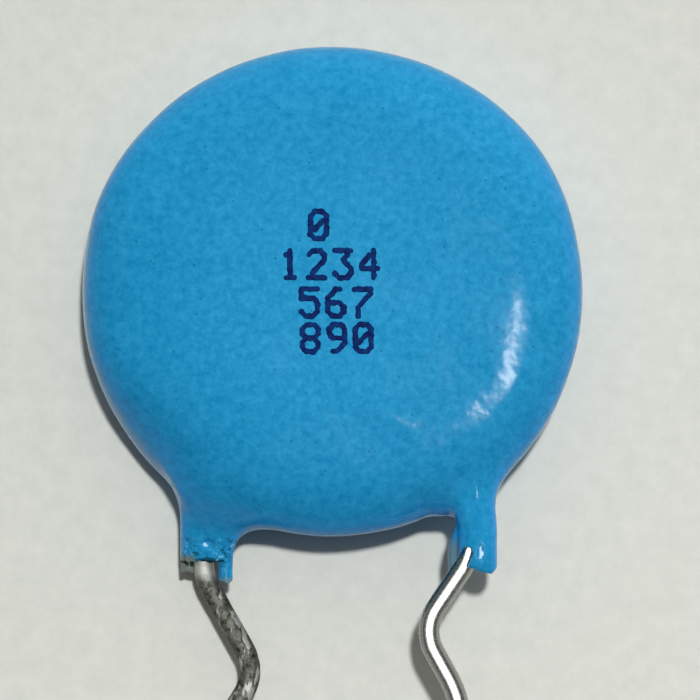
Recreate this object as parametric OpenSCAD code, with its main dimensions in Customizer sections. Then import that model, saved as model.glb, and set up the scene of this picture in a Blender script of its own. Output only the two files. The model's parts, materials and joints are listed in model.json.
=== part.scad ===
// Radial ceramic disc capacitor with kinked leads, lying flat on its rear face.
// A ceramic disc carries a silver electrode on each face. A lead is soldered to each
// electrode, and one dip coat of epoxy covers all of it and runs down onto both leads.
// Origin: midway between the two leads, where their straight feet enter a board.
// +Z is the normal of the front face, and the leads leave towards -Y.

/* [Coating] */
// Diameter of the coated disc
coat_dia = 14.0; // [13.4:0.1:16]
// Thickness between the two coated faces
coat_t = 3.3; // [3.2:0.05:4.2]
// Diameter of the flat middle of each face
face_dia = 9.6; // [8:0.1:10.5]
// Coat that is missing along the lower edge, between the legs
edge_thin = 0.28; // [0:0.01:0.5]
// How far the rim is drawn in at the top
rim_draw = 0.08; // [0:0.01:0.2]
// Height of the ridge that each lead raises on its face
ridge_h = 0.07; // [0.02:0.01:0.15]

/* [Legs] */
// Width of the coat at the end of a leg
leg_w = 1.44; // [1.3:0.02:1.7]
// Width of the front leg where it leaves the disc
neck_w = 1.1; // [1:0.02:1.3]
// Reach of a leg beyond the middle of its lead, on the outer side
leg_overhang = 0.69; // [0.6:0.01:0.8]
// Sideways offset of both legs
leg_shift = 0.05; // [-0.05:0.01:0.05]
// How far the front leg reaches below the disc's edge
leg_drop = 0.75; // [0.7:0.05:1.5]
// How much shorter the rear leg is, since its end has broken off
leg_broken = 0.3; // [0.1:0.05:0.35]
// Fillet between the disc and the outside of a leg
outer_fillet = 1.6; // [0.8:0.1:2.4]
// Fillet between the disc and the inside of a leg
inner_fillet = 0.2; // [0.1:0.05:0.6]
// Length of the tab that is left below the broken edge
tab_drop = 0.6; // [0.3:0.05:0.8]
// Width of that tab, on the inner side of the wire
tab_w = 0.46; // [0.3:0.02:0.6]
// Length of the film that is left on the outer side of the wire
film_drop = 0.33; // [0.2:0.01:0.6]
// Width of that film
film_w = 0.4; // [0.3:0.02:0.44]

/* [Ceramic] */
// Diameter of the ceramic disc
ceramic_dia = 11.6; // [10.8:0.1:12]
// Thickness of the ceramic disc
ceramic_t = 0.56; // [0.4:0.02:0.8]
// Diameter of each silver electrode
electrode_dia = 10.4; // [10.2:0.1:10.8]
// Thickness of each electrode
electrode_t = 0.06; // [0.04:0.01:0.08]

/* [Solder] */
// Solder between a lead and its electrode
solder_film = 0.06; // [0.04:0.01:0.1]
// Radius of the solder bead over the end of a lead
bead_r = 0.75; // [0.6:0.05:0.8]
// Height of the bead's middle above the electrode
bead_lift = 0.1; // [0:0.05:0.2]
// Length of the bead along the slanted part of a lead
bead_len = 1.9; // [1:0.1:2]

/* [Leads] */
// Diameter of the tinned wire
wire_dia = 0.58; // [0.5:0.01:0.64]
// Distance between the feet of the two leads
lead_pitch = 7.5; // [7.4:0.1:7.8]
// Distance between the leads where they leave the coat
exit_pitch = 7.45; // [7.3:0.05:7.6]
// Sideways offset of the leads from the disc's centre, where they leave the coat
exit_shift = 0.12; // [-0.2:0.02:0.2]
// Distance between the leads inside the coat, where they turn onto the ceramic
shoulder_pitch = 7.34; // [7.24:0.02:7.4]
// Straight length of each foot below the origin
foot_len = 12; // [3:0.5:25]
// Height of the disc's centre above the origin
disc_y = 14; // [14:0.5:20]
// Sideways offset of the disc from the middle of the feet
disc_x = 0.15; // [-0.3:0.05:0.3]

/* [Kinks, measured down from the disc's centre] */
// Upper bend of the rear lead
rear_bend_drop = 7.85; // [7.5:0.05:8]
// Inner point of the rear lead's kink
rear_kink_drop = 10.55; // [10.2:0.05:10.8]
// Lower bend of the rear lead, where its foot starts
rear_foot_drop = 13.5; // [13:0.05:13.6]
// How far the rear lead's kink comes in
rear_kink_in = 1.5; // [1:0.05:1.7]
// Upper bend of the front lead
front_bend_drop = 7.3; // [7.2:0.05:7.6]
// Inner point of the front lead's kink
front_kink_drop = 9.3; // [9.1:0.05:9.6]
// Lower bend of the front lead
front_foot_drop = 11.3; // [11.1:0.05:11.8]
// How far the front lead's kink comes in
front_kink_in = 1.35; // [0.8:0.05:1.4]

/* [Hidden] */

// FRONT is the right-hand lead, on the +Z face. REAR is the left-hand lead, on the -Z face.
FRONT = 1;
REAR = -1;

// Clearance of every pocket in the coat, which also covers its flat facets
pocket_fit = 0.01;

wire_r = wire_dia / 2;
coat_r = coat_dia / 2;
electrode_z = ceramic_t / 2 + electrode_t;
wire_z = electrode_z + solder_film + wire_r;

// The soldered part of the front lead, about the disc's centre: the height at which it
// turns onto the ceramic, the corner where it bends again, and its end. The rear lead's is
// the same on the other side.
shoulder_y = -4.7;
elbow = [0.5, -2.72];
wire_end = [-0.2, -1.97];

// Bend radii of the wire, from its soldered end to its foot
elbow_r = 1.5;
shoulder_r = 0.8;
upper_bend_r = 1.5;
kink_r = 1.2;
rear_lower_bend_r = 1.2;
front_lower_bend_r = 3;

// How much thicker the wire is in a bend, and how far straight wire runs into it
bend_swell = 0.005;
bend_overlap = 0.03;

// How much the bead swells at its ends and its corner
bead_swell = 0.02;

// A leg's half thickness and the height of its middle, where it leaves the disc
leg_r = 0.6;
leg_lift = 0.5;
// Radius of the rounded end of a leg, and of the ridge that a lead raises
end_r = 0.3;
ridge_r = 1.1;

// Angles between which the lower edge is thin, and the angle it takes to become so
thin_from = 248;
thin_to = 298;
thin_ramp = 10;

// Steps of the coat's skin
rim_sides = 96;
rim_rows = 6;
blob_sides = 20;
fillet_steps = 4;
ridge_steps = 3;

function unit(v) = v / norm(v);
function angle_of(v) = atan2(v.y, v.x);
function left_of(v) = [-v.y, v.x];
function clamp(v, lo, hi) = max(lo, min(hi, v));
function mix(a, b, t) = a + (b - a) * t;
function turn_between(a, b) =
    atan2(a.x * b.y - a.y * b.x, a.x * b.x + a.y * b.y);

// ---- leads ----

// Where a lead leaves the coat, across the disc
function exit_x(side) = side * exit_pitch / 2 + exit_shift;

// Where a lead turns onto the ceramic
function shoulder(side) = [side * shoulder_pitch / 2 + exit_shift, shoulder_y];

// Corners of a lead about the disc's centre, from its soldered end to the tip of its foot
function lead_points(side) =
    let (bend = side == FRONT ? front_bend_drop : rear_bend_drop,
         kink = side == FRONT ? front_kink_drop : rear_kink_drop,
         foot = side == FRONT ? front_foot_drop : rear_foot_drop,
         inward = side == FRONT ? front_kink_in : rear_kink_in,
         foot_x = side * lead_pitch / 2 - disc_x)
    [[side * wire_end.x, wire_end.y],
     [side * elbow.x, elbow.y],
     shoulder(side),
     [exit_x(side), -bend],
     [exit_x(side) - side * inward, -kink],
     [foot_x, -foot],
     [foot_x, -disc_y - foot_len]];

function lead_radii(side) =
    [0, elbow_r, shoulder_r, upper_bend_r, kink_r,
     side == FRONT ? front_lower_bend_r : rear_lower_bend_r, 0];

// Round wire along corners p, with bend radius r[i] at corner i. A bend is a hair thicker
// than the straight wire, and each straight piece runs a little way into it.
module wire(p, r, radius) {
    last = len(p) - 1;
    dirs = [for (i = [0 : last - 1]) unit(p[i + 1] - p[i])];
    turns = [for (i = [0 : last])
        i == 0 || i == last ? 0 : turn_between(dirs[i - 1], dirs[i])];
    cuts = [for (i = [0 : last])
        i == 0 || i == last ? 0 : r[i] * tan(abs(turns[i]) / 2) - bend_overlap];
    for (i = [0 : last - 1]) {
        start = p[i] + dirs[i] * cuts[i];
        length = norm(p[i + 1] - p[i]) - cuts[i] - cuts[i + 1];
        translate([start.x, start.y, 0])
            rotate([0, 0, angle_of(dirs[i])])
                rotate([0, 90, 0])
                    cylinder(h = length, r = radius, $fn = 20);
    }
    for (i = [1 : last - 1]) {
        inward = left_of(dirs[i - 1]) * sign(turns[i]);
        centre = p[i] - dirs[i - 1] * (cuts[i] + bend_overlap) + inward * r[i];
        first = angle_of(-inward) + min(turns[i], 0);
        translate([centre.x, centre.y, 0])
            rotate([0, 0, first])
                rotate_extrude(angle = abs(turns[i]), $fn = 60)
                    translate([r[i], 0])
                        circle(r = radius + bend_swell, $fn = 20);
    }
}

module lead_form(side, grow = 0) {
    translate([disc_x, disc_y, side * wire_z])
        wire(lead_points(side), lead_radii(side), wire_r + grow);
}

// ---- ceramic, electrodes and solder ----

module ceramic_form(grow = 0) {
    translate([disc_x, disc_y, 0])
        cylinder(h = ceramic_t + 2 * grow, d = ceramic_dia + 2 * grow,
                 center = true, $fn = 96);
}

module electrode_form(side, grow = 0) {
    translate([disc_x, disc_y, side * (ceramic_t + electrode_t) / 2])
        cylinder(h = electrode_t + 2 * grow, d = electrode_dia + 2 * grow,
                 center = true, $fn = 96);
}

// A mound over the soldered end of a lead, flat where it wets the electrode
module bead_form(side, grow = 0) {
    corner = [side * elbow.x, elbow.y];
    slant = unit(shoulder(side) - corner);
    mound = [corner + slant * bead_len, corner, [side * wire_end.x, wire_end.y]];
    translate([disc_x, disc_y, 0])
        intersection() {
            translate([0, 0, side * (electrode_z + bead_lift)])
                union() {
                    for (m = mound)
                        translate([m.x, m.y, 0])
                            sphere(r = bead_r + bead_swell + grow, $fn = 32);
                    for (i = [0 : 1])
                        translate([mound[i].x, mound[i].y, 0])
                            rotate([0, 0, angle_of(mound[i + 1] - mound[i])])
                                rotate([0, 90, 0])
                                    cylinder(h = norm(mound[i + 1] - mound[i]),
                                             r = bead_r + grow, $fn = 32);
                }
            translate([0, 0, side * (electrode_z - grow + electrode_dia / 2)])
                cube(electrode_dia, center = true);
        }
}

// ---- the coat's outer skin, about the disc's centre ----

// Radius of the coated rim at angle a: drawn in at the top, and thinner between the legs
function rim_radius(a) =
    coat_r - rim_draw * pow(max(sin(a), 0), 6)
    - edge_thin * clamp((a - thin_from) / thin_ramp, 0, 1)
    * clamp((thin_to - a) / thin_ramp, 0, 1);

// Height of the coated face above the middle plane at point p
function skin_z(p) =
    let (out = clamp((norm(p) - face_dia / 2) / (coat_r - face_dia / 2), 0, 1))
    coat_t / 2 * sqrt(1 - out * out);

// The coated disc: two flat faces and an elliptical rim
module pillow() {
    face_r = face_dia / 2;
    rows = 2 * rim_rows;
    points = [for (j = [0 : rows], i = [0 : rim_sides - 1])
        let (a = 360 * i / rim_sides,
             up = 180 * j / rows - 90,
             r = face_r + (rim_radius(a) - face_r) * cos(up))
        [r * cos(a), r * sin(a), coat_t / 2 * sin(up)]];
    walls = [for (j = [0 : rows - 1], i = [0 : rim_sides - 1])
        let (k = (i + 1) % rim_sides)
        [j * rim_sides + i, (j + 1) * rim_sides + i,
         (j + 1) * rim_sides + k, j * rim_sides + k]];
    rear = [for (i = [0 : rim_sides - 1]) i];
    front = [for (i = [rim_sides - 1 : -1 : 0]) rows * rim_sides + i];
    polyhedron(points = points, faces = concat(walls, [rear], [front]));
}

// Coat that follows a chain of blobs, each [x, y, z, r]
module coat_chain(blobs) {
    for (i = [0 : len(blobs) - 2])
        hull()
            for (b = [blobs[i], blobs[i + 1]])
                translate([b[0], b[1], b[2]])
                    sphere(r = b[3], $fn = blob_sides);
}

// Outer side of a leg, across the disc
function out_x(side) = exit_x(side) + side * leg_overhang + leg_shift;

// Coat across a leg: balls of radius r, from its outer side to a width w away
module coat_band(side, w, y, z, r) {
    for (x = [r, w - r])
        translate([out_x(side) - side * x, y, side * z])
            sphere(r = r, $fn = blob_sides);
}

// Blobs along the fillet that starts beside a leg at edge_x. hand is 1 if it is on the
// leg's +X side, and -1 on its -X side.
function fillet_blobs(edge_x, leg_z, hand, rim, fillet) =
    let (qx = edge_x + hand * fillet,
         qy = -sqrt(pow(rim + fillet, 2) - qx * qx),
         first = hand > 0 ? 180 : 0,
         last = atan2(-qy, -qx),
         r = leg_r - 0.1)
    [for (i = [0 : fillet_steps])
        let (t = i / fillet_steps, a = mix(first, last, t))
        [qx + (fillet + r) * cos(a), qy + (fillet + r) * sin(a), leg_z * (1 - t), r]];

// One leg, with the fillets that carry it into the disc
module leg_form(side) {
    neck = side == FRONT ? neck_w : leg_w;
    end_y = -coat_r - leg_drop + (side == FRONT ? 0 : leg_broken);
    neck_y = -coat_r + leg_r;
    hull() {
        coat_band(side, neck, neck_y, leg_lift, min(leg_r, neck / 2));
        coat_band(side, leg_w, end_y + 2.2 * end_r, leg_lift - 0.05, leg_r - 0.05);
        coat_band(side, leg_w, end_y + end_r, end_r / 2, end_r);
    }
    coat_chain([[shoulder(side).x, shoulder_y, side * (wire_z - 0.03), leg_r + 0.12],
                [shoulder(side).x, shoulder_y - 0.7, side * (wire_z - 0.1), leg_r + 0.08],
                [out_x(side) - side * neck / 2, neck_y, side * leg_lift, min(leg_r, neck / 2)]]);
    coat_chain(fillet_blobs(out_x(side), side * leg_lift, side, coat_r, outer_fillet));
    coat_chain(fillet_blobs(out_x(side) - side * neck, side * leg_lift, -side,
                            coat_r - 0.1, inner_fillet));
}

// What is left of the rear leg below its broken edge: a tab on the inner side of the wire
// and a thinner film on its outer side
module broken_end() {
    edge_y = -coat_r - leg_drop + leg_broken;
    tab_x = out_x(REAR) + leg_w - tab_w / 2;
    film_x = out_x(REAR) + film_w / 2;
    coat_chain([[tab_x, edge_y + tab_w, -end_r, tab_w / 2],
                [tab_x, edge_y - tab_drop + tab_w / 2, -end_r, tab_w / 2]]);
    coat_chain([[film_x, edge_y + film_w, -end_r, film_w / 2],
                [film_x, edge_y - film_drop + film_w / 2, -end_r, film_w / 2]]);
}

// The low ridge that a lead raises on its face, narrower towards its leg
module ridge_form(side) {
    corner = [side * elbow.x, elbow.y];
    tail = [side * wire_end.x, wire_end.y];
    blobs = [for (i = [0 : ridge_steps])
        let (t = i / ridge_steps,
             p = mix(corner, shoulder(side), t),
             r = mix(ridge_r, leg_r + 0.12, t))
        [p.x, p.y, side * (skin_z(p) + ridge_h - r), r]];
    coat_chain(concat([[tail.x, tail.y, side * (skin_z(tail) + ridge_h / 2 - ridge_r),
                        ridge_r]], blobs));
}

module skin_form() {
    translate([disc_x, disc_y, 0]) {
        pillow();
        for (side = [REAR, FRONT]) {
            leg_form(side);
            ridge_form(side);
        }
        broken_end();
    }
}

// ---- the pieces ----

module epoxy_coating() {
    color("#2392c4")
        difference() {
            skin_form();
            ceramic_form(pocket_fit);
            for (side = [REAR, FRONT]) {
                electrode_form(side, pocket_fit);
                bead_form(side, pocket_fit);
                lead_form(side, pocket_fit);
            }
        }
}

module ceramic_disc() {
    color("#b59a78")
        ceramic_form();
}

module electrode(side) {
    color("#d8d6cf")
        electrode_form(side);
}

module solder(side) {
    color("#a9aaa6")
        difference() {
            bead_form(side);
            lead_form(side);
        }
}

module lead(side) {
    color("#8f928e")
        lead_form(side);
}

module front_electrode() electrode(FRONT);
module rear_electrode() electrode(REAR);
module front_solder() solder(FRONT);
module rear_solder() solder(REAR);
module front_lead() lead(FRONT);
module rear_lead() lead(REAR);

epoxy_coating();
ceramic_disc();
front_electrode();
rear_electrode();
front_solder();
rear_solder();
front_lead();
rear_lead();
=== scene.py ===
# %% [markdown]
# # A ceramic disc capacitor, dressed
#
# The solids of this part come from its CAD model. Here each piece that shows gets the form
# and the finish that the eye expects: a blue dip coat with soft edges, bright tinned wire,
# and a marking in dots of ink. All positions are in metres in the CAD model's own frame.
# Sizes are in millimetres about the middle of the disc, as such a part is measured, and one
# function turns them into that frame.

# %% Load the CAD model
import json

import bpy
import numpy as np
from mathutils import Matrix, Vector

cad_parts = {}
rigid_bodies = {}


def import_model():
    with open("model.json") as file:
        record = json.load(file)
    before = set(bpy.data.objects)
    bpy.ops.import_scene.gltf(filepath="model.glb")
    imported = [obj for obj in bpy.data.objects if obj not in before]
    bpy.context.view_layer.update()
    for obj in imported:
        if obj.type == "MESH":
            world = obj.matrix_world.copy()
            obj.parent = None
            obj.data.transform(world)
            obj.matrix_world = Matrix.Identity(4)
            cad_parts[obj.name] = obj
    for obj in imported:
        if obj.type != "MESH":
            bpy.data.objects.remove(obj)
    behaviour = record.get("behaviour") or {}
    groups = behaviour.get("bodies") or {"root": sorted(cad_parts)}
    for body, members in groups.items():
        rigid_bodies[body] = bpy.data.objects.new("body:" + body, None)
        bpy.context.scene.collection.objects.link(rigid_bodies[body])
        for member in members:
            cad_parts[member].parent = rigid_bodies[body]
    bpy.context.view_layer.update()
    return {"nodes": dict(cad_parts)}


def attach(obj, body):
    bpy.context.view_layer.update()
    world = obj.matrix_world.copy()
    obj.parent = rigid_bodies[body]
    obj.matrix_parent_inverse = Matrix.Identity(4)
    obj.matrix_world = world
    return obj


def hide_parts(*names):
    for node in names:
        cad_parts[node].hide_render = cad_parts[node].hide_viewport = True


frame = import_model()

MM = 0.001
DISC = np.array([0.15, 14.0, 0.0])  # its middle in the CAD frame, in mm


def to_frame(points):
    """Points in mm about the middle of the disc, as metres in the CAD frame."""
    return (np.asarray(points, float) + DISC) * MM


print("CAD nodes:", sorted(frame["nodes"]))

# %% [markdown]
# ## Small helpers
#
# Colours are written as the hex values of a paint chart and turned to linear light once.
# One function adds a node with its settings, values and links. Every material starts with
# the object's own coordinates in mm, so that a pattern's scale is a number per millimetre.

# %% Helpers
# Sockets of a Mix node by number, because its kinds of data share their names
FACTOR, FLOAT_A, FLOAT_B, COLOUR_A, COLOUR_B, COLOUR_OUT = 0, 2, 3, 6, 7, 2


def linear(hex_colour):
    """An sRGB hex colour as a linear RGBA tuple."""
    parts = [int(hex_colour[i : i + 2], 16) / 255 for i in (1, 3, 5)]
    return (*[c / 12.92 if c <= 0.04045 else ((c + 0.055) / 1.055) ** 2.4 for c in parts], 1.0)


def add_node(tree, kind, values=None, links=None, stops=(), **settings):
    """A new node: settings are its properties, values and links go to its input sockets,
    and stops, each a position and a hex colour, to its colour ramp. A link comes from a
    socket, or from a node's first output."""
    made = tree.nodes.new(kind)
    for name, value in settings.items():
        setattr(made, name, value)
    for socket, value in (values or {}).items():
        made.inputs[socket].default_value = value
    for socket, source in (links or {}).items():
        start = source.outputs[0] if isinstance(source, bpy.types.Node) else source
        tree.links.new(start, made.inputs[socket])
    for number, (position, hex_colour) in enumerate(stops):
        made.color_ramp.elements[number].position = position
        made.color_ramp.elements[number].color = linear(hex_colour)
    return made


def span(low, high, start=0.0, end=1.0):
    """Values of a Map Range node: low to high become start to end."""
    return {"From Min": low, "From Max": high, "To Min": start, "To Max": end}


def clouds(per_mm, detail, roughness):
    """Values of a Noise node whose largest clouds are 1 / per_mm wide."""
    return {"Scale": per_mm, "Detail": detail, "Roughness": roughness}


def new_material(name):
    """An empty material, its node tree, and the object's own coordinates in mm."""
    material = bpy.data.materials.new(name)
    material.use_nodes = True
    tree = material.node_tree
    tree.nodes.clear()
    coords = add_node(tree, "ShaderNodeTexCoord")
    in_mm = add_node(
        tree,
        "ShaderNodeMapping",
        values={"Scale": (1 / MM,) * 3},
        links={"Vector": coords.outputs["Object"]},
    )
    return material, tree, in_mm


def add_object(name, data):
    """An object in the scene with the given mesh, lamp or camera."""
    made = bpy.data.objects.new(name, data)
    bpy.context.scene.collection.objects.link(made)
    return made


def mesh_object(name, points_mm, edges=(), faces=()):
    """A mesh object from points in mm about the middle of the disc."""
    mesh = bpy.data.meshes.new(name)
    mesh.from_pydata(to_frame(points_mm).tolist(), edges, faces)
    return add_object(name, mesh)


print("middle grey as light:", [round(c, 3) for c in linear("#808080")[:3]])

# %% [markdown]
# ## Camera
#
# The part lies on its back and is seen from straight above, with its leads towards the
# lower edge. A long lens from a hand's breadth away keeps the perspective as small as it is
# in a close-up of a thing this size. The view is 19.5 mm wide where the disc is widest.

# %% Camera
VIEW_MIDDLE = (0.652, 12.450)
VIEW_WIDTH = 19.52
CAMERA_HEIGHT = 170.0
SENSOR = 36.0
CLIP_START, CLIP_END = 0.01, 5.0  # in metres

camera_data = bpy.data.cameras.new("camera")
camera_data.sensor_width = SENSOR
camera_data.lens = SENSOR * CAMERA_HEIGHT / VIEW_WIDTH
camera_data.clip_start, camera_data.clip_end = CLIP_START, CLIP_END
camera = add_object("camera", camera_data)
camera.location = (VIEW_MIDDLE[0] * MM, VIEW_MIDDLE[1] * MM, CAMERA_HEIGHT * MM)
bpy.context.scene.camera = camera
print("lens:", round(camera_data.lens, 1), "mm")

# %% [markdown]
# ## The form of the dip coat
#
# The ceramic disc with its soldered leads is dipped in liquid epoxy, drained and cured. So
# the coat has no edge that a tool made. It is a pillow over the disc, it swells over the
# two wires on their way out, and surface tension fills every corner between them.
#
# Boxes and bevels can't give that. A distance field can: each form is a formula that is
# negative inside it, and a smooth minimum joins two of them with a fillet, as the liquid
# does. The surface where the field is zero is then meshed.

# %% Smooth joins of distance fields
TINY = 1e-9


def ease(t):
    """0 below 0, 1 above 1, and smooth between them."""
    t = np.clip(t, 0, 1)
    return t * t * (3 - 2 * t)


def smooth_min(a, b, k):
    """The union of two fields with a fillet about k mm wide."""
    h = np.maximum(k - np.abs(a - b), 0) / k
    return np.minimum(a, b) - h * h * k / 4


def smooth_max(a, b, k):
    """The overlap of two fields with an edge rounded by about k mm."""
    return -smooth_min(-a, -b, k)


def oval(p, a, q, b):
    """Distance, near its edge, to an ellipse with half axes a and b."""
    k0 = np.hypot(p / a, q / b)
    k1 = np.hypot(p / (a * a), q / (b * b))
    return k0 * (k0 - 1) / np.maximum(k1, TINY)


def squarish(p, a, q, b, n):
    """Distance, near its edge, to an oval: an ellipse when n is 2, squarer when it is more."""
    u, v = np.abs(p / a) + TINY, np.abs(q / b) + TINY
    f = (u**n + v**n) ** (1 / n)
    return (f - 1) / (f ** (1 - n) * np.hypot(u ** (n - 1) / a, v ** (n - 1) / b))


def eased_table(knots, values, width=0.45, step=0.01):
    """A smooth curve through rough knots, as a function of the drop below the middle."""
    grid = np.arange(knots[0] - 1, knots[-1] + 1, step)
    rough = np.interp(grid, knots, values)
    window = np.hanning(int(width / step) | 1)
    half = len(window) // 2
    padded = np.concatenate([np.full(half, rough[0]), rough, np.full(half, rough[-1])])
    smooth = np.convolve(padded, window / window.sum(), "valid")
    return lambda drop: np.interp(drop, grid, smooth)


print("half way up a smooth join of two walls:", round(float(smooth_min(0.2, 0.2, 0.4)), 3))

# %% [markdown]
# ## The disc
#
# The two faces are flat over the ceramic and fall off to a round rim. The rim is a little
# thinner along the lower edge, between the legs, where the resin drained off. At the left it
# ran towards the back before it set, so the widest line of the rim sags there and the
# shoulder above it turns down tightly. A wire under each face raises a low ridge. A few long
# waves keep the reflections alive.

# %% The disc's field
# Sizes are in mm, and places round the rim in degrees from +X towards +Y. A stretch of rim
# has its start, how far it takes to grow and to die away, and its end.
FACE_R = 4.8
COAT_R = 6.979
COAT_HALF = 1.645
FACE_EASE = 0.45
WAVE_H = 0.0035
RIDGE = [(3.79, -4.76), (0.5, -2.72), (-0.2, -1.97)]
RIDGE_H = 0.036
RIDGE_W = 0.36
TOP_BY = 0.075
DRAINED, DRAINED_BY = (247, 11, 6, 298.5), 0.235
RUNS = [(34, 34, 0.085), (155, 24, 0.055)]
SAG, SAG_BY = (140, 45, 26, 256), 1.05
RISE, RISE_BY = (272, 30), 0.25
ROUND = 2.1
TIGHT_LEFT, TIGHT_LEFT_BY = (125, 40, 30, 220), 1.4
TIGHT_RIGHT, TIGHT_RIGHT_BY = (-12, 62), 0.6


def soft_ramp(w):
    """w where it is large, nearly 0 where it is negative, with a soft start."""
    return (w + np.sqrt(w * w + FACE_EASE**2)) / 2


def hump(angle, middle, half):
    """1 at the middle angle, 0 from half away on, in degrees."""
    return ease(1 - np.abs((angle - middle + 180) % 360 - 180) / half)


def along(angle, start, growth, decline, end):
    """1 along a stretch of the rim and 0 outside it, in degrees."""
    return ease((angle - start) / growth) * ease((end - angle) / decline)


def turn_of(x, y):
    """The direction of x, y from the middle of the disc, from 0 to 360 degrees."""
    return np.degrees(np.arctan2(y, x)) % 360


def rim_radius(x, y):
    """Radius of the coat's outline in the direction of x, y."""
    angle = turn_of(x, y)
    turn = np.radians(angle)
    top = TOP_BY * np.maximum(np.sin(turn), 0) ** 6
    runs = sum(much * hump(angle, middle, half) for middle, half, much in RUNS)
    waves = 0.005 * np.sin(11 * turn + 2.1) + 0.003 * np.sin(23 * turn)
    return COAT_R - top - DRAINED_BY * along(angle, *DRAINED) + runs + waves


def rim_level(x, y):
    """Height of the widest line of the rim."""
    angle = turn_of(x, y)
    level = RISE_BY * hump(angle, *RISE) - SAG_BY * along(angle, *SAG)
    return level * ease((np.hypot(x, y) - 3) / 1.5)


def rim_squareness(x, y):
    """2 where the rim is as round as an ellipse, more where it turns down late and tightly."""
    angle = turn_of(x, y)
    left = TIGHT_LEFT_BY * along(angle, *TIGHT_LEFT)
    return ROUND + left + TIGHT_RIGHT_BY * hump(angle, *TIGHT_RIGHT)


def to_line(x, y, corners):
    """Distance from x, y to a line through the corners."""
    best = np.full(np.shape(x), np.inf)
    for (x0, y0), (x1, y1) in zip(corners, corners[1:]):
        dx, dy = x1 - x0, y1 - y0
        t = np.clip(((x - x0) * dx + (y - y0) * dy) / (dx * dx + dy * dy), 0, 1)
        best = np.minimum(best, np.hypot(x - x0 - t * dx, y - y0 - t * dy))
    return best


def face_height(x, y, side):
    """Half the coat's thickness at x, y on one side: its ridge and its long waves."""
    ridge = np.exp(-((to_line(side * x, y, RIDGE) / RIDGE_W) ** 2))
    fade = ease((side * x + 0.9) / 2.2) * (1 - ease((np.hypot(x, y) - 3.5) / 1.3))
    waves = np.sin(1.7 * x + 0.9 * y + side) + np.sin(1.1 * x - 1.9 * y + 2.4 * side)
    waves = waves + 0.7 * np.sin(2.9 * x + 2.3 * y - 1.3 * side)
    return COAT_HALF + RIDGE_H * fade * ridge + WAVE_H * waves


def disc_field(x, y, z):
    """The field of the disc without its legs."""
    out = soft_ramp(np.hypot(x, y) - FACE_R)
    reach = soft_ramp(rim_radius(x, y) - FACE_R)
    level = rim_level(x, y)
    front = ease((z - level) / 0.8 + 0.5)
    half = (face_height(x, y, 1) - level) * front + (face_height(x, y, -1) + level) * (1 - front)
    return squarish(out, reach, z - level, half, rim_squareness(x, y))


print("coat on the flat of the disc:", round(-float(disc_field(0.0, 3.0, 0.0)), 3), "mm each side")

# %% [markdown]
# ## The legs
#
# The dip reaches down both wires and leaves a leg on each. The right-hand leg, which is
# towards the front, ends in a lip that the wire breaks through, with a thin web of coat on
# the wire's inner side. The left-hand one, which is towards the back, has cracked off: a
# straight broken edge, with a tab of coat left on the inner side of the wire and a thin film
# on its outer side.
#
# A leg is a shaft whose middle, width and height change on the way down. They are given at a
# few drops below the middle of the disc, and a smooth curve joins them. The liquid filled
# the corner between a leg and the disc, so the smooth join there is wide.
#
# A knock took a tiny flat chip out of each leg, which the eye finds by one spark of light. A
# facet mirrors a lamp when its slope is half way between the lamp and the eye, so the
# slopes below are worked out for the window.

# %% The legs' fields
def shaft(drops, x, w, rise_drops, z, h):
    """A shaft of coat: its middle x and half width w, its middle z and half height h."""
    return dict(
        x=eased_table(drops, x),
        w=eased_table(drops, w),
        z=eased_table(rise_drops, z),
        h=eased_table(rise_drops, h),
    )


LEG_TOP = 4.3
FRONT_LEG = shaft(
    [4.2, 5.4, 6.4, 7.8],
    [3.79, 3.83, 4.035, 4.035],
    [0.70, 0.66, 0.555, 0.555],
    [4.4, 4.9, 5.4, 5.9, 6.4, 6.95, 7.4, 7.8],
    [0.35, 0.42, 0.50, 0.56, 0.60, 0.64, 0.66, 0.66],
    [0.45, 0.56, 0.66, 0.71, 0.72, 0.72, 0.69, 0.59],
)
REAR_LEG = shaft(
    [4.2, 5.4, 6.4, 8.0],
    [-3.55, -3.56, -3.51, -3.51],
    [0.70, 0.70, 0.735, 0.735],
    [4.4, 4.9, 5.3, 5.7, 6.1, 6.5, 7.0, 7.6],
    [-0.10, -0.06, -0.10, -0.20, -0.36, -0.45, -0.48, -0.50],
    [0.80, 0.92, 0.96, 0.91, 0.78, 0.69, 0.64, 0.60],
)
REAR_LEG_END = 7.46
REAR_SLUMP = 0.30
WEB = shaft(
    [5.9, 6.4, 6.8, 7.2, 8.0],
    [3.80, 3.68, 3.50, 3.43, 3.45],
    [0.25, 0.22, 0.21, 0.215, 0.19],
    [5.9, 8.0],
    [0.46, 0.50],
    [0.30, 0.26],
)
WEB_END = 7.84
LIP_X = [3.30, 3.60, 3.75, 3.90, 4.05, 4.20, 4.43, 4.62]
LIP_DROP = [7.85, 7.72, 7.60, 7.60, 7.68, 7.73, 7.76, 7.64]
SLOT = [(3.755, -7.16), (3.62, -7.50), (3.30, -8.05)]
SLOT_HALF = 0.15
SLOT_FLOOR = 0.72
FRONT_CHIP = dict(point=(4.12, -7.16, 1.324), slant=(0.083, -0.013), reach=(0.075, 0.20))
REAR_CHIP = dict(point=(-3.51, -6.97, 0.045), slant=(0.118, -0.013), reach=(0.12, 0.095))
STRIP_TOP = 6.6
FILM = dict(middle=(-4.04, -0.80), half=(0.20, 0.17), reach=7.79, ripple=19, rounding=0.08)
TAB = dict(middle=(-2.98, -0.28), half=(0.205, 0.22), reach=8.06, ripple=23, rounding=0.10)
# Widths of the joins to the disc, and how much wider they are on one side of the leg
FRONT_JOIN, FRONT_JOIN_OUTER = 0.34, 0.36
REAR_JOIN, REAR_JOIN_INNER, REAR_DRAPE = 0.60, 0.42, 0.35


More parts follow.
